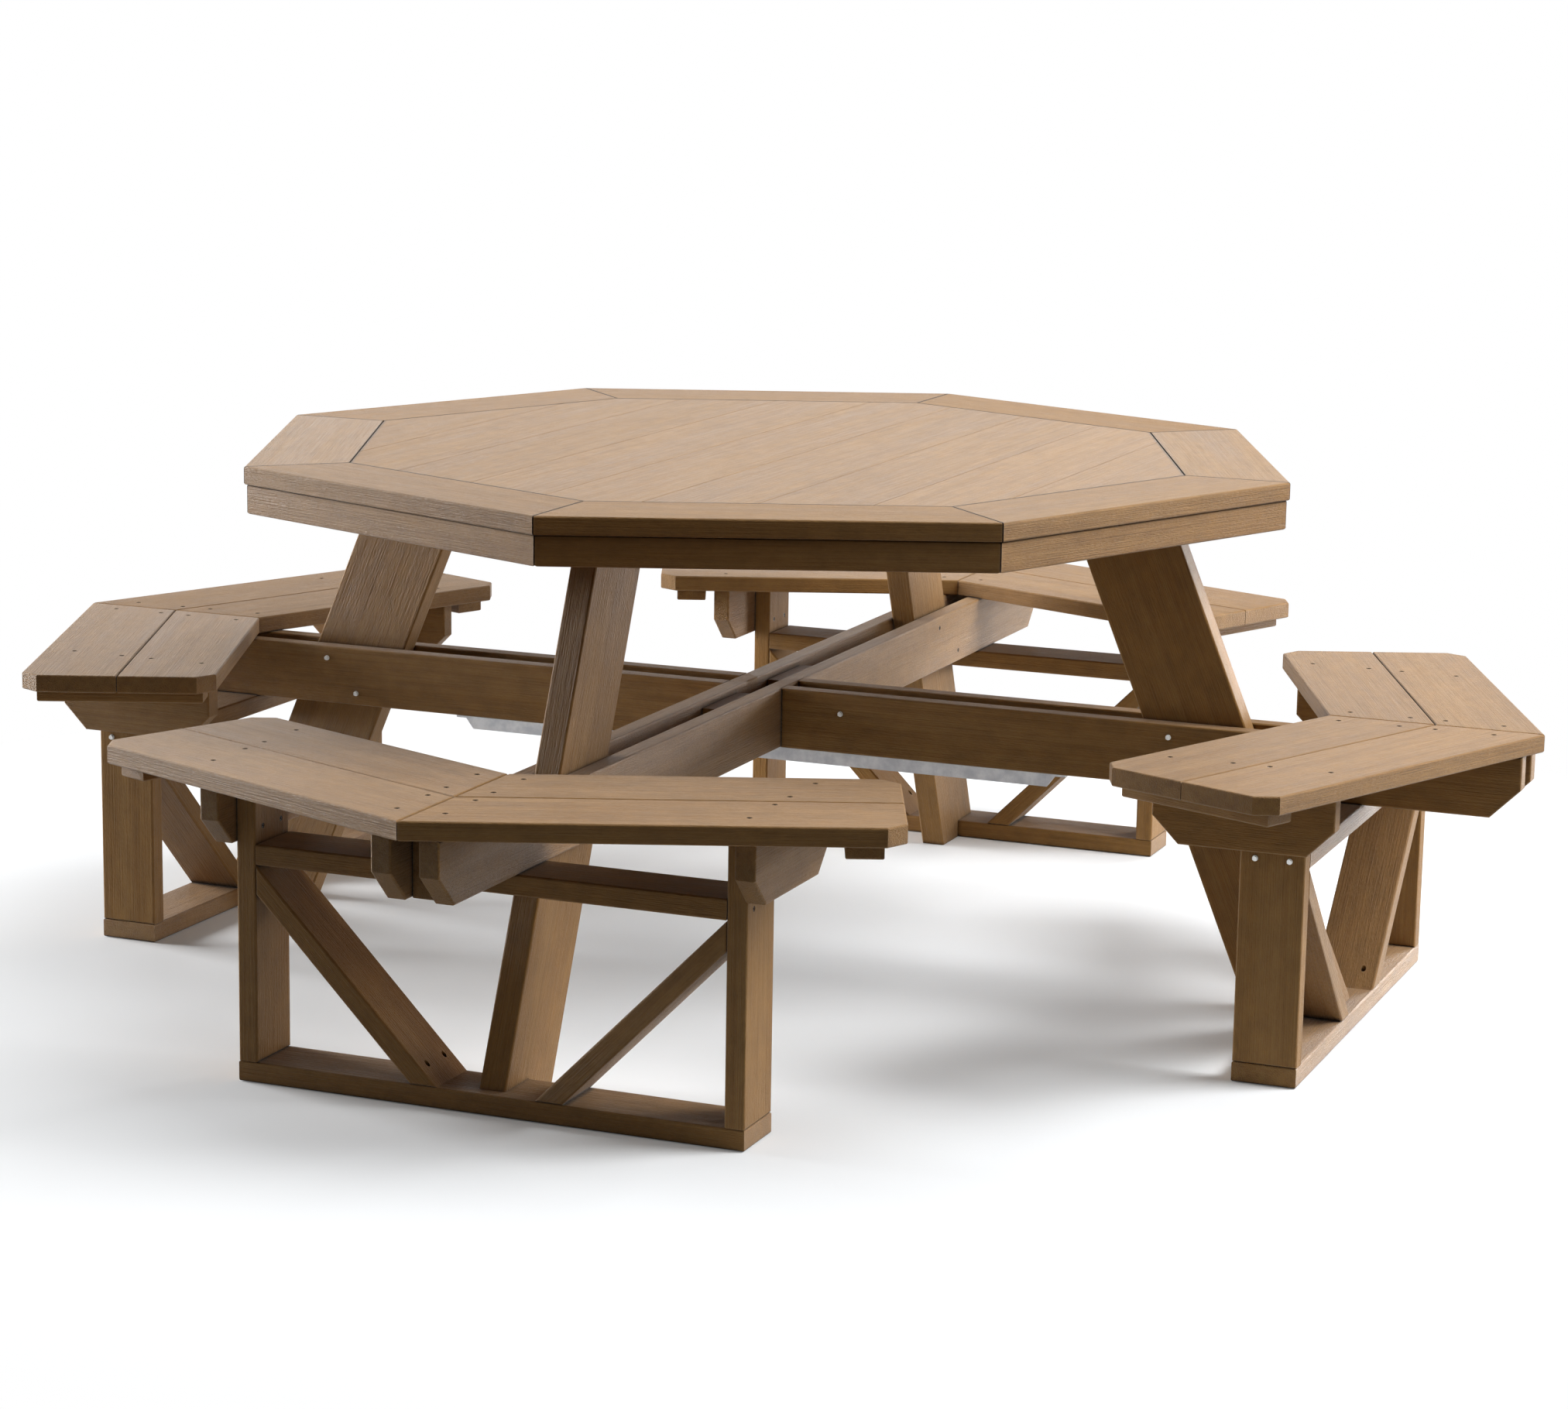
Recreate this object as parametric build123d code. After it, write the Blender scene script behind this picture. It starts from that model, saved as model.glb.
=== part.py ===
from build123d import *
import math
import os

# Picnic table with an octagonal top and four chevron benches, framed by crossed double beams.
# Millimetres. The origin is on the floor under the middle of the top, with +Z up.
# +X points at the right bench and +Y at the back bench, and the double beams lie along X and Y.

# Table top
table_height = 762.0
top_thickness = 25.4
field_plank_count = 9
field_plank_width = 140.6
field_joint_gap = 0.6
field_edge_ease = 0.8
border_board_width = 139.7
border_joint_gap = 2.0
apron_height = 41.3
apron_thickness = 25.4
apron_setback = 4.0

# Framing under the top
bearer_height = 40.0
bearer_reach = 70.0
batten_thickness = 25.4
batten_width = 88.9
batten_length = 300.0
corner_cleat_length = 150.0

# Board stock of the beams and bench frames
frame_width = 88.9
frame_thickness = 28.0
edge_ease = 3.0

# Legs
leg_width = 139.7
leg_thickness = 38.1
leg_lean = 22.5
leg_foot_setback = 9.0

# Benches
seat_height = 438.0
seat_thickness = 25.4
seat_plank_width = 139.7
seat_joint_gap = 1.0
seat_tip_overhang = 238.0
seat_end_overhang = 139.0
seat_corner_clip = 25.0
bench_frame_radius = 923.0
bench_frame_length = 724.0
brace_foot = 70.0
support_clip = 37.0
support_inner_inset = 17.0
support_outer_inset = 38.0
end_cleat_width = 48.0
end_cleat_thickness = 19.0
end_cleat_inset = 28.0
end_cleat_side_inset = 20.0

# Crossed beams
beam_end_setback = 20.0
beam_end_clip = 42.0
spacer_height = 79.0
centre_spacer_offset = 10.0
centre_spacer_length = 133.0
end_spacer_length = 90.0
end_spacer_setback = 55.0

# Steel channel that bridges the cut beams
channel_length = 976.0
channel_width = 90.0
channel_depth = 19.0
channel_wall = 3.0
channel_tab = 16.0
channel_slant = 12.0

# Dark screws with socket heads
screw_head_radius = 3.5
screw_head_height = 2.6
screw_head_recess = 0.6
screw_shank_radius = 2.1
screw_socket_width = 2.6
screw_socket_depth = 1.4
screw_grip = 20.0
screw_tip_clearance = 1.0
seat_screw_from_inner_edge = 36.0
seat_screw_before_seam = 30.0
seat_screw_after_seam = 20.0
seat_screw_from_outer_edge = 50.0
batten_screw_offset = 25.0
batten_screw_end = 40.0
support_screw_rise = 21.0
brace_screw_from_toe = 24.0
channel_screw_end = 48.0

# Bright screws with flanged hexagon heads, in the crosswise beams and frames
lag_shank_radius = 3.0
lag_head_width = 6.0
lag_head_height = 2.8
lag_flange_radius = 3.9
lag_flange_thickness = 1.2

# Places of the frame's screws
leg_screw_offset = 36.0
leg_screw_rise = 26.0
bearer_screw_offset = 25.0
spacer_screw_drop = 30.0
centre_spacer_screw_reach = 84.0
rail_screw_spacing = 47.0
rail_screw_grip = 60.0

# Clearance of every screw in its hole
hole_clearance = 0.1
head_clearance = 0.25

# Octagon
side_count = 8
sector = 360.0 / side_count
half_sector = math.radians(sector / 2)
cos_half = math.cos(half_sector)
sin_half = math.sin(half_sector)
tan_half = math.tan(half_sector)

# Levels
top_underside = table_height - top_thickness
seat_underside = seat_height - seat_thickness
beam_bottom = seat_underside - frame_width
beam_middle = beam_bottom + frame_width / 2
top_rail_bottom = beam_bottom - frame_thickness

# Table top in plan: distances square to a side, and the field's corner on the X axis
field_corner = (field_plank_count * field_plank_width + (field_plank_count - 1) * field_joint_gap) / 2
field_edge = field_corner * cos_half
border_inner = field_edge + border_joint_gap
border_outer = border_inner + border_board_width
apron_outer = border_outer - apron_setback
apron_inner = apron_outer - apron_thickness

# Beams and bench frames in plan: radial and sideways distances
beam_inner_face = leg_thickness / 2
beam_outer_face = beam_inner_face + frame_thickness
beam_board_middle = (beam_inner_face + beam_outer_face) / 2
frame_outer = bench_frame_radius
frame_inner = frame_outer - frame_width
frame_middle = (frame_outer + frame_inner) / 2
post_outer = bench_frame_length / 2
post_inner = post_outer - frame_thickness
support_outer = post_outer + frame_thickness
support_middle = (post_outer + support_outer) / 2

# Seats in plan: distances square to an arm, and the tip of the mitre on the bench's own axis
seat_tip = bench_frame_radius + seat_tip_overhang
seat_outer = seat_tip * cos_half
seat_seam = seat_outer - seat_plank_width - seat_joint_gap / 2
seat_inner = seat_seam - seat_joint_gap / 2 - seat_plank_width
beam_end = seat_tip - beam_end_setback

# Legs: the outer edge's radius at the floor and the width of a level cut
lean = math.radians(leg_lean)
leg_foot = bench_frame_radius - leg_foot_setback
leg_level_width = leg_width / math.cos(lean)

# Benches by quarter turns about Z, and the arms on either side of each
bench_names = ("right", "back", "left", "front")
arm_sides = (("left", -1), ("right", 1))

nodes = {}
holes = []


def add(node, *solids):
    """Puts solids into a node."""
    nodes.setdefault(node, []).extend(solids)


def board(face, thickness, ease):
    """A board with the given face, from level 0 up, with the edges round both its faces eased."""
    blank = extrude(face, amount=thickness, dir=(0, 0, 1))
    faces = blank.faces().sort_by(Axis.Z)
    return fillet(faces[0].edges() + faces[-1].edges(), ease)


def flat(outline, bottom, thickness):
    """A board that lies flat, with its outline in plan."""
    return Pos(0, 0, bottom) * board(Polygon(*outline, align=None), thickness, edge_ease)


def on_edge(outline, side_high, thickness):
    """A board in a radial upright plane, with its outline as radius and height."""
    place = Plane((0, side_high, 0), x_dir=(1, 0, 0), z_dir=(0, -1, 0)).location
    return place * board(Polygon(*outline, align=None), thickness, edge_ease)


def across(outline, radius_low, thickness):
    """A board square to the radius, with its outline as sideways distance and height."""
    place = Plane((radius_low, 0, 0), x_dir=(0, 1, 0), z_dir=(1, 0, 0)).location
    return place * board(Polygon(*outline, align=None), thickness, edge_ease)


def rectangle(low_x, low_y, high_x, high_y):
    """The outline of a rectangle."""
    return [(low_x, low_y), (high_x, low_y), (high_x, high_y), (low_x, high_y)]


def turned(angle, shape):
    """A shape turned about the table's upright axis."""
    return Rot(0, 0, angle) * shape


def pointing(point, direction):
    """The place of a fastener whose head faces along a direction."""
    return Plane(point, z_dir=direction).location


def screw(length, recess):
    """A screw that points down, with its socket head this far below level 0."""
    head = Pos(0, 0, -recess - screw_head_height / 2) * Cylinder(screw_head_radius, screw_head_height)
    socket = Box(screw_socket_width, screw_socket_width, 2 * screw_socket_depth)
    shank = Pos(0, 0, -recess - screw_head_height - length / 2) * Cylinder(screw_shank_radius, length)
    return head + shank - Pos(0, 0, -recess) * socket


def screw_hole(length, recess, sink):
    """The space that a screw takes, open this far above level 0."""
    seat = recess + screw_head_height
    mouth = Pos(0, 0, (sink - seat) / 2) * Cylinder(screw_head_radius + head_clearance, sink + seat)
    depth = length + screw_tip_clearance
    shank = Pos(0, 0, -seat - depth / 2) * Cylinder(screw_shank_radius + hole_clearance, depth)
    return mouth + shank


def drive_screw(node, place, length, recess=screw_head_recess, sink=screw_tip_clearance):
    """Adds a screw at a place and keeps its hole for the boards that it passes through."""
    add(node, place * screw(length, recess))
    holes.append(place * screw_hole(length, recess, sink))


def lag(length):
    """A screw with a flanged hexagon head that points down from its seat at level 0."""
    flange = Pos(0, 0, lag_flange_thickness / 2) * Cylinder(lag_flange_radius, lag_flange_thickness)
    hexagon = RegularPolygon(lag_head_width / 2, 6, major_radius=False)
    head = Pos(0, 0, lag_flange_thickness) * extrude(hexagon, amount=lag_head_height, dir=(0, 0, 1))
    shank = Pos(0, 0, -length / 2) * Cylinder(lag_shank_radius, length)
    return flange + head + shank


def drive_lag(place, length):
    """Adds a bright screw at a place and keeps its hole."""
    depth = length + screw_tip_clearance
    add("lag_screws", place * lag(length))
    holes.append(place * Pos(0, 0, -depth / 2) * Cylinder(lag_shank_radius + hole_clearance, depth))


def drive_side_screw(angle, bright, spot, side, length):
    """A screw driven sideways into a face, bright or dark."""
    place = turned(angle, pointing(spot, (0, side, 0)))
    if bright:
        drive_lag(place, length)
    else:
        drive_screw("frame_screws", place, length)


def drilled(solid):
    """A board with the holes of the fasteners that pass through it."""
    box = solid.bounding_box()
    tools = []
    for hole in holes:
        other = hole.bounding_box()
        apart_x = other.min.X > box.max.X or box.min.X > other.max.X
        apart_y = other.min.Y > box.max.Y or box.min.Y > other.max.Y
        apart_z = other.min.Z > box.max.Z or box.min.Z > other.max.Z
        if not (apart_x or apart_y or apart_z):
            tools.append(hole)
    return solid - tools if tools else solid


def octagon(edge):
    """The corners of the octagon whose sides are this far from its middle, one corner on each axis."""
    corner = edge / cos_half
    turns = [math.radians(sector * k) for k in range(side_count)]
    return [(corner * math.cos(turn), corner * math.sin(turn)) for turn in turns]


def side_board(low, high, gap):
    """The outline of a mitred board along the side that faces +X, before its turn to that side."""
    trim = gap / 2 / cos_half
    return [(low, trim - low * tan_half), (high, trim - high * tan_half),
            (high, high * tan_half - trim), (low, low * tan_half - trim)]


def seat_radius(distance, sideways):
    """The radius at which a line this far out on a seat arm crosses a sideways distance."""
    return (distance - sideways * sin_half) / cos_half


def arm_point(along, distance, side):
    """Radius and sideways distance of a point on a seat arm."""
    return (distance * cos_half - along * sin_half, side * (distance * sin_half + along * cos_half))


def leg_radius(height):
    """The radius of a leg's outer edge at a height."""
    return leg_foot - height * math.tan(lean)


def leg_middle(height):
    """The radius of the middle of a leg at a height."""
    return leg_radius(height) - leg_level_width / 2


# Field planks along Y, cut to the inner octagon
field = Polygon(*octagon(field_edge), align=None)
for k in range(field_plank_count):
    middle = (k - (field_plank_count - 1) / 2) * (field_plank_width + field_joint_gap)
    strip = Pos(middle, 0) * Rectangle(field_plank_width, 2 * field_corner)
    plank = board(field & strip, top_thickness, field_edge_ease)
    add(f"field_plank_{k + 1}", Pos(0, 0, top_underside) * plank)

# Border boards with a rounded rim, apron boards, battens across the joint of field and border, corner cleats
for k in range(side_count):
    turn = sector * (k + 0.5)
    border_face = Polygon(*side_board(border_inner, border_outer, border_joint_gap), align=None)
    border = extrude(border_face, amount=top_thickness, dir=(0, 0, 1))
    rim = border.faces().sort_by(Axis.X)[-1].edges().filter_by(Axis.Y)
    add(f"border_board_{k + 1}", turned(turn, Pos(0, 0, top_underside) * fillet(rim, edge_ease)))
    apron_outline = side_board(apron_inner, apron_outer, border_joint_gap)
    apron = flat(apron_outline, top_underside - apron_height, apron_height)
    add("apron_boards", turned(turn, apron))
    batten_bottom = top_underside - batten_thickness
    batten_outline = rectangle(field_edge - batten_width / 2, -batten_length / 2,
                               field_edge + batten_width / 2, batten_length / 2)
    add("side_battens", turned(turn, flat(batten_outline, batten_bottom, batten_thickness)))
    for out in (-batten_screw_offset, batten_screw_offset):
        for along in (batten_screw_end - batten_length / 2, batten_length / 2 - batten_screw_end):
            place = turned(turn, pointing((field_edge + out, along, batten_bottom), (0, 0, -1)))
            drive_screw("underside_screws", place, batten_thickness + top_thickness / 2)

for k in range(side_count // 2):
    turn = 2 * sector * k + sector
    cleat_middle = field_corner
    outline = rectangle(cleat_middle - corner_cleat_length / 2, -batten_width / 2,
                        cleat_middle + corner_cleat_length / 2, batten_width / 2)
    add("corner_cleats", turned(turn, flat(outline, batten_bottom, batten_thickness)))
    for along in (-batten_screw_offset, batten_screw_offset):
        cleat_screw_radius = cleat_middle + corner_cleat_length / 2 - batten_screw_end
        place = turned(turn, pointing((cleat_screw_radius, along, batten_bottom), (0, 0, -1)))
        drive_screw("underside_screws", place, batten_thickness + top_thickness / 2)

# Bearers that grip the leg tops: one pair whole along Y, one pair cut where they cross
bearer_end = field_corner + bearer_reach
bearer_bottom = top_underside - bearer_height
for side in (-1, 1):
    side_high = max(side * beam_inner_face, side * beam_outer_face)
    whole = rectangle(-bearer_end, bearer_bottom, bearer_end, top_underside)
    add("top_bearers", turned(90, on_edge(whole, side_high, frame_thickness)))
    cut = rectangle(beam_outer_face, bearer_bottom, bearer_end, top_underside)
    for angle in (0, 180):
        add("top_bearers", turned(angle, on_edge(cut, side_high, frame_thickness)))

# Double beams: one pair whole along Y, one pair cut where they cross, with clipped lower ends
beam_tail = [(beam_end - beam_end_clip, beam_bottom), (beam_end, beam_bottom + beam_end_clip),
             (beam_end, seat_underside)]
whole_beam = beam_tail + [(-x, z) for x, z in reversed(beam_tail)]
cut_beam = beam_tail + [(beam_outer_face, seat_underside), (beam_outer_face, beam_bottom)]
for name, side in (("right", -1), ("left", 1)):
    side_high = max(side * beam_inner_face, side * beam_outer_face)
    add(f"lengthwise_beam_{name}", turned(90, on_edge(whole_beam, side_high, frame_thickness)))
    for end, angle in (("right", 0), ("left", 180)):
        add(f"crosswise_beam_{end}", turned(angle, on_edge(cut_beam, side_high, frame_thickness)))

# Steel channel under the cut beams, flanges down, with slanting flange ends behind a flat tab
channel_top = beam_bottom
flange_start = channel_length / 2 - channel_tab
channel_tail = [(flange_start - channel_slant, channel_top - channel_depth),
                (flange_start, channel_top - channel_wall),
                (channel_length / 2, channel_top - channel_wall), (channel_length / 2, channel_top)]
channel_outline = channel_tail + [(-x, z) for x, z in reversed(channel_tail)]
channel_place = Plane((0, channel_width / 2, 0), x_dir=(1, 0, 0), z_dir=(0, -1, 0)).location
channel_face = Polygon(*channel_outline, align=None)
channel_blank = channel_place * extrude(channel_face, amount=channel_width, dir=(0, 0, 1))
channel_inside = Pos(0, 0, channel_top - channel_wall - channel_depth) * Box(
    2 * channel_length, channel_width - 2 * channel_wall, 2 * channel_depth)
add("steel_channel", channel_blank - channel_inside)
channel_reach = channel_length / 2 - channel_screw_end
for end in (-1, 1):
    for share in (1 / 3, 2 / 3, 1):
        for side in (-1, 1):
            spot = (end * channel_reach * share, side * beam_board_middle, channel_top - channel_wall)
            drive_screw("underside_screws", pointing(spot, (0, 0, -1)), channel_wall + screw_grip,
                        -screw_head_height)

# One bench, its leg and its end of the beams, built on the right and turned into place
seat_end_start = support_outer / cos_half - seat_seam * tan_half
seat_end = seat_end_start + seat_end_overhang


def seat_planks(side):
    """The inner and the outer plank of one arm, mitred on the bench's axis and clipped at the end."""
    half_gap = seat_joint_gap / 2
    mitre = half_gap / cos_half

    def start(distance):
        return mitre - distance * tan_half

    inner = [(start(seat_inner), seat_inner), (seat_end - seat_corner_clip, seat_inner),
             (seat_end, seat_inner + seat_corner_clip), (seat_end, seat_seam - half_gap),
             (start(seat_seam - half_gap), seat_seam - half_gap)]
    outer = [(start(seat_seam + half_gap), seat_seam + half_gap), (seat_end, seat_seam + half_gap),
             (seat_end, seat_outer - seat_corner_clip), (seat_end - seat_corner_clip, seat_outer),
             (start(seat_outer), seat_outer)]
    outlines = [[arm_point(along, out, side) for along, out in plank] for plank in (inner, outer)]
    return [flat(outline, seat_underside, seat_thickness) for outline in outlines]


def end_cleat(side):
    """The strip under the end of one arm that ties its planks together."""
    outline = rectangle(seat_end - end_cleat_inset - end_cleat_width, seat_inner + end_cleat_side_inset,
                        seat_end - end_cleat_inset, seat_outer - end_cleat_side_inset)
    plan = [arm_point(along, out, side) for along, out in outline]
    return flat(plan, seat_underside - end_cleat_thickness, end_cleat_thickness)


def seat_support(side):
    """The upright board on a post's outer side that carries an arm, with clipped lower corners."""
    low = seat_radius(seat_inner, support_middle) + support_inner_inset
    high = seat_radius(seat_outer, support_middle) - support_outer_inset
    outline = [(low + support_clip, beam_bottom), (high - support_clip, beam_bottom),
               (high, beam_bottom + support_clip), (high, seat_underside),
               (low, seat_underside), (low, beam_bottom + support_clip)]
    return on_edge(outline, max(side * post_outer, side * support_outer), frame_thickness)


def post(side):
    """An upright of the bench frame, from the bottom rail to the seat."""
    outline = rectangle(frame_inner, frame_thickness, frame_outer, seat_underside)
    return on_edge(outline, max(side * post_inner, side * post_outer), frame_thickness)


def rail(half_length, bottom):
    """A flat rail of the bench frame."""
    return flat(rectangle(frame_inner, -half_length, frame_outer, half_length), bottom, frame_thickness)


brace_rise = top_rail_bottom - frame_thickness
brace_run = post_inner - brace_foot
brace_length = math.hypot(brace_rise, brace_run)
brace_level_width = frame_thickness * brace_length / brace_rise
brace_upright_width = frame_thickness * brace_length / brace_run


def brace(side):
    """A diagonal from the corner under the top rail to the bottom rail beside the leg."""
    outline = [(side * brace_foot, frame_thickness),
               (side * (brace_foot + brace_level_width), frame_thickness),
               (side * post_inner, top_rail_bottom - brace_upright_width),
               (side * post_inner, top_rail_bottom)]
    return across(outline, frame_inner, frame_width)


def leg():
    """A leaning leg, cut level under the top and notched over the bottom rail."""
    outline = [(leg_radius(0) - leg_level_width, 0), (frame_inner, 0), (frame_inner, frame_thickness),
               (leg_radius(frame_thickness), frame_thickness), (leg_radius(top_underside), top_underside),
               (leg_radius(top_underside) - leg_level_width, top_underside)]
    blank = extrude(Polygon(*outline, align=None), amount=leg_thickness, dir=(0, 0, 1))
    long_edges = blank.edges().filter_by(lambda edge: edge.length > 2 * leg_width)
    place = Plane((0, leg_thickness / 2, 0), x_dir=(1, 0, 0), z_dir=(0, -1, 0)).location
    return place * fillet(long_edges, edge_ease)


def spacer(start, length):
    """A block between the boards of a double beam."""
    outline = rectangle(start, beam_bottom, start + length, beam_bottom + spacer_height)
    return on_edge(outline, beam_inner_face, leg_thickness)


def drive_seat_screws(angle, sideways):
    """The row of screws through both planks of an arm into what carries them at a sideways distance."""
    reach = abs(sideways)
    seam = seat_radius(seat_seam, reach)
    radii = [seat_radius(seat_inner, reach) + seat_screw_from_inner_edge, seam - seat_screw_before_seam,
             seam + seat_screw_after_seam, seat_radius(seat_outer, reach) - seat_screw_from_outer_edge]
    for radius in radii:
        place = turned(angle, pointing((radius, sideways, seat_height), (0, 0, 1)))
        drive_screw("seat_screws", place, seat_thickness + screw_grip)


def drive_frame_screws(angle, bright, side):
    """The screws at one post: into the top rail, the seat support, the post and the brace's foot."""
    for offset in (-rail_screw_spacing / 2, rail_screw_spacing / 2):
        radius = frame_middle + offset
        rail_spot = (radius, side * post_outer, top_rail_bottom + frame_thickness / 2)
        drive_side_screw(angle, bright, rail_spot, side, frame_thickness + rail_screw_grip)
        support_spot = (radius, side * post_inner, beam_bottom + support_screw_rise)
        drive_side_screw(angle, False, support_spot, -side, frame_thickness + screw_grip)
        post_spot = (radius, side * (post_inner + post_outer) / 2, 0)
        post_place = turned(angle, pointing(post_spot, (0, 0, -1)))
        drive_screw("frame_screws", post_place, frame_thickness + screw_grip)
        toe = brace_screw_from_toe * brace_rise / brace_run
        brace_spot = (radius, side * (brace_foot + brace_screw_from_toe), frame_thickness + toe)
        brace_place = turned(angle, pointing(brace_spot, (0, 0, 1)))
        drive_screw("frame_screws", brace_place, toe + screw_grip / 2, 2 * screw_head_height, 2 * toe)


def drive_beam_screws(angle, bright, centre_side, end_side):
    """The screws of one end of the beams: into the leg, its top, the centre spacer and the end spacer."""
    for side in (-1, 1):
        for step in (-1, 1):
            height = beam_middle + step * leg_screw_rise
            radius = leg_middle(height) + side * step * leg_screw_offset
            spot = (radius, side * beam_outer_face, height)
            drive_side_screw(angle, bright, spot, side, frame_thickness + screw_grip)
        bearer_middle = bearer_bottom + bearer_height / 2
        spot = (leg_middle(bearer_middle) + side * bearer_screw_offset, side * beam_outer_face, bearer_middle)
        drive_side_screw(angle, False, spot, side, frame_thickness + screw_grip)
    through = frame_thickness + leg_thickness + screw_grip
    height = seat_underside - spacer_screw_drop
    spot = (centre_spacer_start + centre_spacer_screw_reach, centre_side * beam_outer_face, height)
    drive_side_screw(angle, bright, spot, centre_side, through)
    spot = (end_spacer_start + end_spacer_length / 2, end_side * beam_outer_face, height)
    drive_side_screw(angle, False, spot, end_side, through)


def drive_cleat_screws(angle, side):
    """The screws that hold an end cleat up to both planks of an arm."""
    along = seat_end - end_cleat_inset - end_cleat_width / 2
    for middle in ((seat_inner + seat_seam) / 2, (seat_seam + seat_outer) / 2):
        for offset in (-batten_screw_offset, batten_screw_offset):
            radius, sideways = arm_point(along, middle + offset, side)
            spot = (radius, sideways, seat_underside - end_cleat_thickness)
            drive_screw("underside_screws", turned(angle, pointing(spot, (0, 0, -1))),
                        end_cleat_thickness + seat_thickness / 2)


centre_spacer_start = beam_outer_face + centre_spacer_offset
end_spacer_start = beam_end - end_spacer_setback - end_spacer_length
for quarter, name in enumerate(bench_names):
    angle = 90.0 * quarter
    crosswise = quarter % 2 == 0
    for arm, side in arm_sides:
        for plank in seat_planks(side):
            add(f"{name}_seat_{arm}_arm", turned(angle, plank))
        add("seat_end_cleats", turned(angle, end_cleat(side)))
        add(f"{name}_bench_supports", turned(angle, seat_support(side)))
        add(f"{name}_bench_posts", turned(angle, post(side)))
        add(f"{name}_bench_braces", turned(angle, brace(side)))
        drive_seat_screws(angle, side * support_middle)
        drive_seat_screws(angle, side * beam_board_middle)
        drive_frame_screws(angle, crosswise, side)
        drive_cleat_screws(angle, side)
    add(f"{name}_bench_rails", turned(angle, rail(post_outer, 0)))
    add(f"{name}_bench_rails", turned(angle, rail(post_inner, top_rail_bottom)))
    add(f"{name}_leg", turned(angle, leg()))
    add("spacer_blocks", turned(angle, spacer(centre_spacer_start, centre_spacer_length)))
    add("spacer_blocks", turned(angle, spacer(end_spacer_start, end_spacer_length)))
    # The spacers' screws enter from the back and the left, but for the one right of the crossing
    end_side = 1 if quarter < 2 else -1
    centre_side = -1 if name == "right" else end_side
    drive_beam_screws(angle, crosswise, centre_side, end_side)

# Drill every board and write one file for each node
screw_nodes = ("seat_screws", "frame_screws", "underside_screws", "lag_screws")
os.makedirs("parts", exist_ok=True)
for node, shapes in nodes.items():
    finished = shapes if node in screw_nodes else [drilled(shape) for shape in shapes]
    solids = [solid for shape in finished for solid in shape.solids()]
    export_step(Compound(children=solids), f"parts/{node}.step")
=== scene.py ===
import bpy
import math
from mathutils import Matrix, Vector

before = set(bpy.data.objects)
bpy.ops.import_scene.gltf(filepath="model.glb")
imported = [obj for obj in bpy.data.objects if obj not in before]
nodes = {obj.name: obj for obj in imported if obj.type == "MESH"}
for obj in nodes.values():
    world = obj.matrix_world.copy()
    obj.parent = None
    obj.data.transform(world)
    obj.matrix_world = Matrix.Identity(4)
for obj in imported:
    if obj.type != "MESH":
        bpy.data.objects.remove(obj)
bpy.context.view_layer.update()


def reach_along_x(start):
    """How far the CAD nodes whose names begin with a word reach along +X, in metres."""
    pieces = [piece for name, piece in nodes.items() if name.startswith(start)]
    return max(corner[0] for piece in pieces for corner in piece.bound_box)


# Camera of the photo: where it looks, from which side, and its lens
target = Vector((0.0729, -0.0992, 0.400))
azimuth = math.radians(22.016)
elevation = math.radians(11.208)
roll = math.radians(0.943)
distance = 5.5286
lens = 87.11
sensor_width = 36.0

# Lumber colours in linear light
lumber_light = (0.275, 0.146, 0.044, 1.0)
lumber_middle = (0.240, 0.119, 0.028, 1.0)
lumber_dark = (0.170, 0.079, 0.016, 1.0)
lumber_worn = (0.360, 0.220, 0.110, 1.0)

# Reach of painted shade in corners and along open joints, width of rubbed edges and depth of the grain, in
# metres
corner_shade_reach = 0.008
joint_shade_reach = 0.0045
rubbed_width = 0.004
grain_depth = 0.0018

# Joint of the field and the border, and rim of the border, measured square to a side of the octagon
half_sector = math.pi / 8
field_edge = reach_along_x("field_plank") * math.cos(half_sector)
border_rim = reach_along_x("border_board") * math.cos(half_sector)

# Joint between the two planks of a seat arm, and a height between the two rails of a bench frame
seat_joint = 0.932
rail_divide = 0.15

# Angles at which the legs and the braces rise
leg_rise = math.radians(112.5)
brace_rise = math.atan2(0.2677, 0.2640)

# Soft boxes: name, place, side and power in watts, all turned to one point
lamps = (
    ("overhead", (0.3, 0.8, 4.0), 3.2, 85.0),
    ("right", (3.4, 0.6, 3.2), 2.0, 225.0),
    ("right_low", (4.8, 2.2, 0.6), 1.6, 55.0),
    ("back_low", (2.4, 4.6, 0.7), 1.3, 170.0),
    ("left", (-4.6, -0.4, 1.2), 2.0, 335.0),
)
lamp_aim = Vector((0, 0, 0.4))

# Light from behind the table, and the floor: its colour, its lift, and where it starts to fade and is white
sky_back = 0.75
paper_tone = (0.835, 0.860, 0.882, 1.0)
paper_lift = 0.04
fade_start = 0.9
fade_end = 2.0
floor_size = 80.0
floor_drop = 0.0005
pure_white = (1, 1, 1, 1)


def add_node(tree, kind, inputs=None, **settings):
    """A shader node with its settings made and its inputs set or linked."""
    made = tree.nodes.new(kind)
    for name, value in settings.items():
        setattr(made, name, value)
    for name, value in (inputs or {}).items():
        socket = made.inputs[name]
        if isinstance(value, bpy.types.NodeSocket):
            tree.links.new(value, socket)
        else:
            socket.default_value = value
    return made


def calculate(tree, operation, first, second=0.0, third=0.0):
    """The output of a math node."""
    made = add_node(tree, "ShaderNodeMath", {0: first, 1: second, 2: third}, operation=operation)
    return made.outputs[0]


def scaled(tree, vector, factor):
    """A vector or a colour times a factor."""
    made = add_node(tree, "ShaderNodeVectorMath", {0: vector, "Scale": factor}, operation="SCALE")
    return made.outputs[0]


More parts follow.
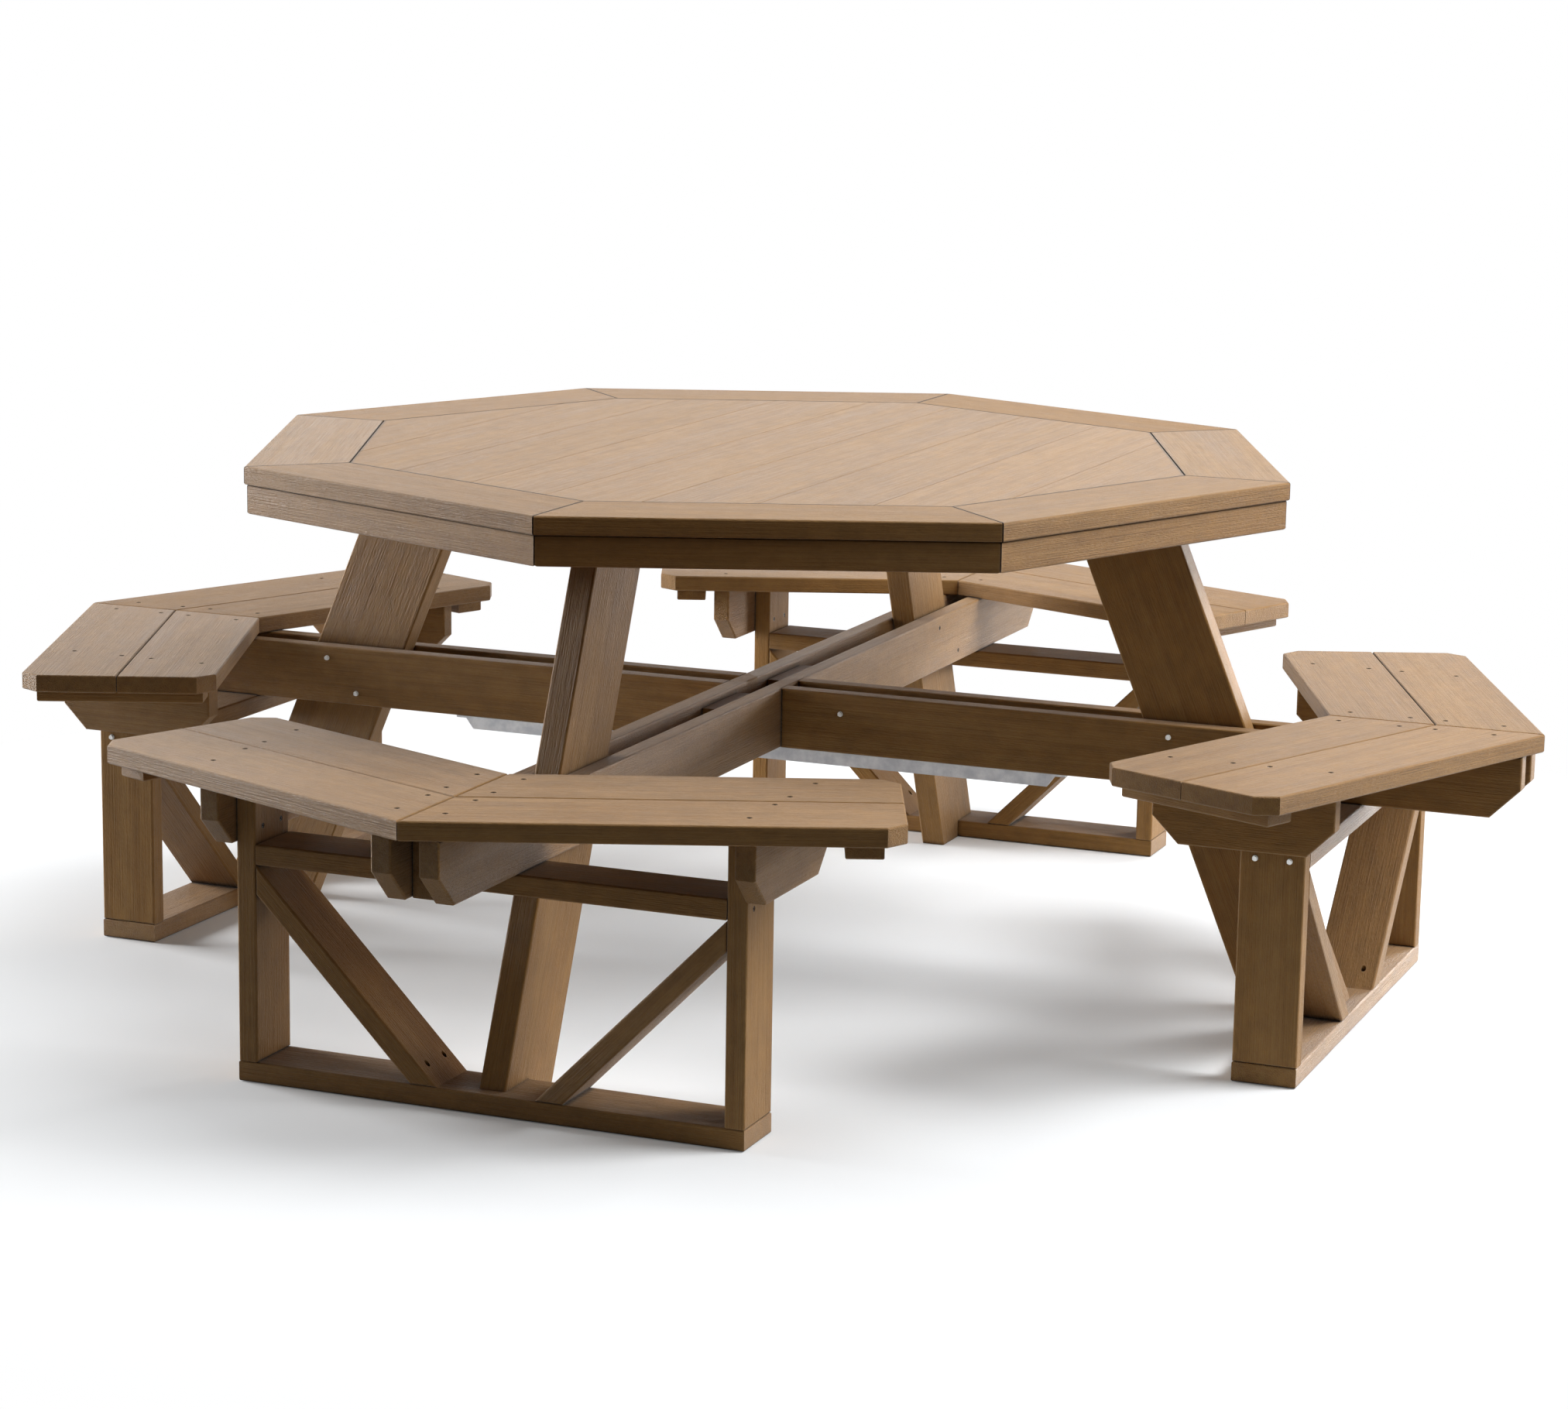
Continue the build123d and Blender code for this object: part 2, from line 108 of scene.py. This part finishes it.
def fit_range(tree, value, low, high, to_low=0.0, to_high=1.0):
    """A value moved from one range to another and held inside it."""
    inputs = {"Value": value, "From Min": low, "From Max": high, "To Min": to_low, "To Max": to_high}
    return add_node(tree, "ShaderNodeMapRange", inputs).outputs["Result"]


def blend(tree, factor, first, second):
    """Two colours mixed."""
    made = add_node(tree, "ShaderNodeMix", {0: factor, 6: first, 7: second}, data_type="RGBA")
    return made.outputs[2]


def stretched_noise(tree, vector, stretch, scale, detail, roughness=0.55):
    """Noise drawn out along the grain."""
    drawn = add_node(tree, "ShaderNodeVectorMath", {0: vector, 1: stretch}, operation="MULTIPLY")
    inputs = {"Vector": drawn.outputs[0], "Scale": scale, "Detail": detail, "Roughness": roughness}
    return add_node(tree, "ShaderNodeTexNoise", inputs).outputs[0]


def edge_wear(tree, radius, flat, sharp, most):
    """How far an edge is rubbed, from the turn between its rounded normal and its own."""
    rounded = add_node(tree, "ShaderNodeBevel", {"Radius": radius}, samples=4).outputs[0]
    own = add_node(tree, "ShaderNodeNewGeometry").outputs["Normal"]
    turned = add_node(tree, "ShaderNodeVectorMath", {0: rounded, 1: own}, operation="DOT_PRODUCT")
    return fit_range(tree, turned.outputs["Value"], flat, sharp, 0.0, most)


def seen_directly(tree):
    """1 for what the camera sees straight, mirrored or through a surface, else 0."""
    path = add_node(tree, "ShaderNodeLightPath").outputs
    shown = calculate(tree, "MAXIMUM", path["Is Camera Ray"], path["Is Glossy Ray"])
    return calculate(tree, "MAXIMUM", shown, path["Is Transmission Ray"])


def new_material(name):
    """A material without nodes, and its tree."""
    made = bpy.data.materials.new(name)
    made.use_nodes = True
    made.node_tree.nodes.clear()
    return made, made.node_tree


def show(tree, shader, kind="ShaderNodeOutputMaterial"):
    """Links a shader to the output of its tree."""
    add_node(tree, kind, {"Surface": shader.outputs[0]})


def lumber_group():
    """The shared look of a board whose grain runs along the first axis of its own space."""
    tree = bpy.data.node_groups.new("lumber", "ShaderNodeTree")
    tree.interface.new_socket("Grain", in_out="INPUT", socket_type="NodeSocketVector")
    tree.interface.new_socket("Board", in_out="INPUT", socket_type="NodeSocketFloat")
    tree.interface.new_socket("Colour", in_out="OUTPUT", socket_type="NodeSocketColor")
    for name in ("Roughness", "Gloss", "Height"):
        tree.interface.new_socket(name, in_out="OUTPUT", socket_type="NodeSocketFloat")
    given = add_node(tree, "NodeGroupInput").outputs
    shift = scaled(tree, (7.3, 3.1, 5.7), given["Board"])
    place = add_node(tree, "ShaderNodeVectorMath", {0: given["Grain"], 1: shift}, operation="ADD").outputs[0]

    # Noise from broad bands to fine specks
    bands = stretched_noise(tree, place, (0.35, 7.0, 7.0), 3.0, 2.0)
    streaks = stretched_noise(tree, place, (0.5, 26.0, 26.0), 4.0, 4.0, 0.6)
    lines = stretched_noise(tree, place, (1.2, 110.0, 110.0), 6.0, 3.0, 0.6)
    mottle = stretched_noise(tree, place, (3.0, 5.0, 5.0), 9.0, 4.0, 0.6)
    specks = stretched_noise(tree, place, (14.0, 60.0, 60.0), 10.0, 2.0, 0.5)

    # Bands with dark streaks and lines, under a cloudy tone and the tone of the board
    colour = blend(tree, fit_range(tree, bands, 0.38, 0.62), lumber_middle, lumber_light)
    colour = blend(tree, fit_range(tree, streaks, 0.48, 0.72, 0.0, 0.50), colour, lumber_dark)
    colour = blend(tree, fit_range(tree, lines, 0.50, 0.70, 0.0, 0.45), colour, lumber_dark)
    cloud = fit_range(tree, mottle, 0.3, 0.7, 0.88, 1.12)
    board_tone = fit_range(tree, given["Board"], 0.0, 1.0, 0.96, 1.04)
    colour = scaled(tree, colour, calculate(tree, "MULTIPLY", cloud, board_tone))

    # Wear on open edges, and painted shade where boards meet: ambient occlusion darkens the colour and dulls
    # the gloss in corners and gaps
    shelter = add_node(tree, "ShaderNodeAmbientOcclusion", {"Distance": corner_shade_reach}, samples=4)
    openness = shelter.outputs["AO"]
    wear = edge_wear(tree, rubbed_width, 0.99, 0.80, 0.5)
    wear = calculate(tree, "MULTIPLY", wear, fit_range(tree, mottle, 0.35, 0.65, 0.3, 1.0))
    wear = calculate(tree, "MULTIPLY", wear, fit_range(tree, openness, 0.6, 0.95))
    colour = blend(tree, wear, colour, lumber_worn)
    # Painted shade: colour darkened where ambient occlusion finds nearby surfaces
    colour = scaled(tree, colour, fit_range(tree, openness, 0.20, 0.85, 0.12, 1.0))

    # Roughness and relief
    patchy = calculate(tree, "MULTIPLY_ADD", lines, 0.5, calculate(tree, "MULTIPLY", bands, 0.5))
    height = calculate(tree, "MULTIPLY_ADD", lines, 1.2, calculate(tree, "MULTIPLY", streaks, 0.3))
    height = calculate(tree, "MULTIPLY_ADD", specks, 0.7, height)
    add_node(tree, "NodeGroupOutput", {"Colour": colour, "Height": height,
                                       "Roughness": fit_range(tree, patchy, 0.35, 0.65, 0.36, 0.58),
                                       "Gloss": fit_range(tree, openness, 0.30, 0.85, 0.05, 0.5)})
    return tree


lumber = lumber_group()


def fold(tree, sectors, start):
    """Table coordinates with every sector turned onto the one about +X, the sector's number and its turn."""
    place = add_node(tree, "ShaderNodeTexCoord").outputs["Object"]
    parts = add_node(tree, "ShaderNodeSeparateXYZ", {0: place}).outputs
    step = 2 * math.pi / sectors
    angle = calculate(tree, "ARCTAN2", parts["Y"], parts["X"])
    number = calculate(tree, "FLOOR", calculate(tree, "MULTIPLY_ADD", angle, 1 / step, start))
    turn = calculate(tree, "MULTIPLY_ADD", number, -step, (start - 0.5) * step)
    turned = add_node(tree, "ShaderNodeVectorRotate", {"Vector": place, "Angle": turn},
                      rotation_type="Z_AXIS")
    parts = add_node(tree, "ShaderNodeSeparateXYZ", {0: turned.outputs[0]}).outputs
    return parts["X"], parts["Y"], parts["Z"], number, turn


def board_number(tree, marks):
    """A steady random number for each board from its node and from what tells boards in a node apart."""
    own = add_node(tree, "ShaderNodeObjectInfo").outputs["Random"]
    total = calculate(tree, "MULTIPLY", own, 91.7)
    for k, mark in enumerate(marks):
        total = calculate(tree, "MULTIPLY_ADD", mark, 3.7 + 2.9 * k, total)
    return add_node(tree, "ShaderNodeTexWhiteNoise", {"W": total}, noise_dimensions="1D").outputs["Value"]


def lumber_material(name, sectors, start, grain_of, joint_of=None):
    """A lumber material whose grain and gloss follow the boards of one kind, with painted shade along open
    joints.
    """
    made, tree = new_material(name)
    out, along, up, number, turn = fold(tree, sectors, start)
    place, direction, marks = grain_of(tree, out, along, up, number)
    grain = add_node(tree, "ShaderNodeCombineXYZ", dict(enumerate(place)))
    lengthways = add_node(tree, "ShaderNodeCombineXYZ", dict(enumerate(direction)))
    tangent = add_node(tree, "ShaderNodeVectorRotate", {"Vector": lengthways.outputs[0], "Angle": turn},
                       rotation_type="Z_AXIS", invert=True)
    group = add_node(tree, "ShaderNodeGroup", node_tree=lumber)
    tree.links.new(grain.outputs[0], group.inputs["Grain"])
    tree.links.new(board_number(tree, marks), group.inputs["Board"])
    colour = group.outputs["Colour"]
    if joint_of:
        # Painted shade of the seams: colour darkened within a few millimetres of a joint
        colour = scaled(tree, colour, fit_range(tree, joint_of(tree), 0.0, joint_shade_reach, 0.25, 1.0))
    bump = add_node(tree, "ShaderNodeBump",
                    {"Strength": 0.8, "Distance": grain_depth, "Height": group.outputs["Height"]})
    skin = add_node(tree, "ShaderNodeBsdfPrincipled",
                    {"Base Color": colour, "Roughness": group.outputs["Roughness"], "IOR": 1.25,
                     "Specular IOR Level": group.outputs["Gloss"],
                     "Anisotropic": 0.7, "Anisotropic Rotation": 0.25, "Tangent": tangent.outputs[0],
                     "Sheen Weight": 0.2, "Sheen Roughness": 0.5, "Normal": bump.outputs[0]})
    show(tree, skin)
    return made


def beyond(tree, value, limit):
    """1 where a value is over a limit, else 0."""
    return calculate(tree, "GREATER_THAN", value, limit)


def tilted(tree, level, up, angle):
    """Distances along and across a board that rises at an angle from a level direction."""
    sine, cosine = math.sin(angle), math.cos(angle)
    along = calculate(tree, "MULTIPLY_ADD", up, sine, calculate(tree, "MULTIPLY", level, cosine))
    across = calculate(tree, "MULTIPLY_ADD", up, cosine, calculate(tree, "MULTIPLY", level, -sine))
    return along, across


# How the grain lies: the place on the board, its direction, and what tells the boards of a node apart
def along_y(tree, out, along, up, number):
    return (along, out, up), (0, 1, 0), []


def along_side(tree, out, along, up, number):
    return (along, out, up), (0, 1, 0), [number]


def along_arm(tree, out, along, up, number):
    return (along, out, up), (0, 1, 0), [number, beyond(tree, out, seat_joint)]


def across_side(tree, out, along, up, number):
    return (out, along, up), (1, 0, 0), [number]


def along_radius(tree, out, along, up, number):
    return (out, along, up), (1, 0, 0), [number, beyond(tree, along, 0.0)]


def upright(tree, out, along, up, number):
    return (up, out, along), (0, 0, 1), [number, beyond(tree, along, 0.0)]


def sideways(tree, out, along, up, number):
    return (along, out, up), (0, 1, 0), [number, beyond(tree, up, rail_divide)]


def leaning(tree, out, along, up, number):
    first, second = tilted(tree, out, up, leg_rise)
    return (first, second, along), (math.cos(leg_rise), 0, math.sin(leg_rise)), [number]


def sloping(tree, out, along, up, number):
    first, second = tilted(tree, calculate(tree, "ABSOLUTE", along), up, brace_rise)
    aside = calculate(tree, "MULTIPLY", calculate(tree, "SIGN", along), math.cos(brace_rise))
    return (first, second, out), (0, aside, math.sin(brace_rise)), [number, beyond(tree, along, 0.0)]


# Sectors of the table: their count, and the part of one that lies below the +X axis
whole = (1, 0.5)
quarters = (4, 0.5)
eighths = (8, 0.0)


def field_joint(tree):
    """Distance of a place on the field from the joint with the border."""
    return calculate(tree, "SUBTRACT", field_edge, fold(tree, *eighths)[0])


def border_joint(tree):
    """Distance of a place on the border from the field or from the nearest mitre, short of the rim."""
    out, along = fold(tree, *eighths)[:2]
    inner = calculate(tree, "SUBTRACT", out, field_edge)
    aside = calculate(tree, "MULTIPLY", calculate(tree, "ABSOLUTE", along), -math.cos(half_sector))
    mitre = calculate(tree, "MULTIPLY_ADD", out, math.sin(half_sector), aside)
    mitre = calculate(tree, "MAXIMUM", mitre, calculate(tree, "SUBTRACT", out, border_rim - joint_shade_reach))
    return calculate(tree, "MINIMUM", inner, mitre)


def metal_material(name, bright, dull, metallic, smooth, rough):
    """Coated metal with cloudy tone, brushed relief and worn edges."""
    made, tree = new_material(name)
    place = add_node(tree, "ShaderNodeTexCoord").outputs["Object"]
    cloud = stretched_noise(tree, place, (1.0, 1.0, 1.0), 55.0, 4.0)
    fine = stretched_noise(tree, place, (30.0, 300.0, 300.0), 3.0, 3.0)
    colour = blend(tree, fit_range(tree, cloud, 0.35, 0.65), dull, bright)
    colour = blend(tree, edge_wear(tree, 0.001, 0.98, 0.75, 0.6), colour, bright)
    bump = add_node(tree, "ShaderNodeBump", {"Strength": 0.15, "Distance": 0.0003, "Height": fine})
    skin = add_node(tree, "ShaderNodeBsdfPrincipled",
                    {"Base Color": colour, "Metallic": metallic, "Normal": bump.outputs[0],
                     "Roughness": fit_range(tree, cloud, 0.3, 0.7, smooth, rough)})
    show(tree, skin)
    return made


beam_look = lumber_material("lumber_beam", *quarters, along_radius)
steel_look = metal_material("zinc_steel", (0.90, 0.92, 0.95, 1), (0.66, 0.69, 0.74, 1), 0.25, 0.40, 0.60)
zinc_look = metal_material("zinc_screw", (0.90, 0.90, 0.88, 1), (0.62, 0.62, 0.60, 1), 0.6, 0.25, 0.45)
dark_look = metal_material("dark_screw", (0.060, 0.040, 0.025, 1), (0.020, 0.012, 0.008, 1), 0.3, 0.40, 0.60)

# Looks of the other nodes, by the start or by the end of a node's name
looks_by_start = {
    "field_plank": lumber_material("lumber_field", *whole, along_y, field_joint),
    "border_board": lumber_material("lumber_border", *eighths, along_side, border_joint),
    "apron_boards": lumber_material("lumber_apron", *eighths, along_side),
    "side_battens": lumber_material("lumber_batten", *eighths, along_side),
    "seat_end_cleats": lumber_material("lumber_cleat", *eighths, across_side),
    "steel_channel": steel_look,
    "lag_screws": zinc_look,
}
looks_by_end = {
    "_screws": dark_look,
    "_arm": lumber_material("lumber_seat", *eighths, along_arm),
    "_leg": lumber_material("lumber_leg", *quarters, leaning),
    "posts": lumber_material("lumber_post", *quarters, upright),
    "rails": lumber_material("lumber_rail", *quarters, sideways),
    "braces": lumber_material("lumber_brace", *quarters, sloping),
}


def look_for(name):
    """The material of a CAD node."""
    for start, look in looks_by_start.items():
        if name.startswith(start):
            return look
    for end, look in looks_by_end.items():
        if name.endswith(end):
            return look
    return beam_look


for name, piece in nodes.items():
    piece.data.materials.clear()
    piece.data.materials.append(look_for(name))


def studio_paper():
    """Floor paper that keeps its shadows near the table and turns white further out."""
    made, tree = new_material("studio_paper")
    place = add_node(tree, "ShaderNodeTexCoord").outputs["Object"]
    reach = add_node(tree, "ShaderNodeVectorMath", {0: place}, operation="LENGTH").outputs["Value"]
    shown = seen_directly(tree)
    matte = add_node(tree, "ShaderNodeBsdfDiffuse", {"Color": paper_tone})
    lift = calculate(tree, "MULTIPLY", shown, paper_lift)
    glow = add_node(tree, "ShaderNodeEmission", {"Color": pure_white, "Strength": lift})
    near = add_node(tree, "ShaderNodeAddShader", {0: matte.outputs[0], 1: glow.outputs[0]})
    far = add_node(tree, "ShaderNodeEmission", {"Color": pure_white, "Strength": shown})
    fade = fit_range(tree, reach, fade_start, fade_end)
    show(tree, add_node(tree, "ShaderNodeMixShader", {0: fade, 1: near.outputs[0], 2: far.outputs[0]}))
    return made


bpy.ops.mesh.primitive_plane_add(size=floor_size, location=(0, 0, -floor_drop))
floor = bpy.context.object
floor.name = "studio_floor"
floor.data.materials.append(studio_paper())

# Surroundings: white to look at, with a soft light from behind the table that fades towards the top
world = bpy.data.worlds.new("studio")
bpy.context.scene.world = world
world.use_nodes = True
tree = world.node_tree
tree.nodes.clear()
facing = add_node(tree, "ShaderNodeTexCoord").outputs["Generated"]
parts = add_node(tree, "ShaderNodeSeparateXYZ", {0: facing}).outputs
behind = fit_range(tree, parts["Y"], -0.4, 0.5, 0.0, sky_back)
level = calculate(tree, "MULTIPLY", behind, fit_range(tree, parts["Z"], 0.4, 0.8, 1.0, 0.0))
strength = calculate(tree, "MAXIMUM", level, seen_directly(tree))
sky = add_node(tree, "ShaderNodeBackground", {"Color": pure_white, "Strength": strength})
show(tree, sky, "ShaderNodeOutputWorld")


def soft_box(name, place, size, power):
    """A square area light turned to the table."""
    lamp = bpy.data.lights.new(name, "AREA")
    lamp.shape = "SQUARE"
    lamp.size = size
    lamp.energy = power
    holder = bpy.data.objects.new(name, lamp)
    bpy.context.scene.collection.objects.link(holder)
    holder.location = place
    holder.rotation_euler = (lamp_aim - Vector(place)).to_track_quat("-Z", "Y").to_euler()
    holder.visible_camera = False


for lamp in lamps:
    soft_box(*lamp)

# Camera
back = Vector((math.sin(azimuth) * math.cos(elevation), -math.cos(azimuth) * math.cos(elevation),
               math.sin(elevation)))
level_right = (-back).cross(Vector((0, 0, 1))).normalized()
level_up = level_right.cross(-back)
right = math.cos(roll) * level_right + math.sin(roll) * level_up
upward = -math.sin(roll) * level_right + math.cos(roll) * level_up
camera_data = bpy.data.cameras.new("photo_camera")
camera_data.sensor_fit = "HORIZONTAL"
camera_data.sensor_width = sensor_width
camera_data.lens = lens
camera_data.clip_end = 200.0
camera = bpy.data.objects.new("photo_camera", camera_data)
bpy.context.scene.collection.objects.link(camera)
turn = Matrix((right, upward, back)).transposed().to_4x4()
camera.matrix_world = Matrix.Translation(target + back * distance) @ turn
bpy.context.scene.camera = camera
bpy.context.scene.view_settings.view_transform = "Standard"
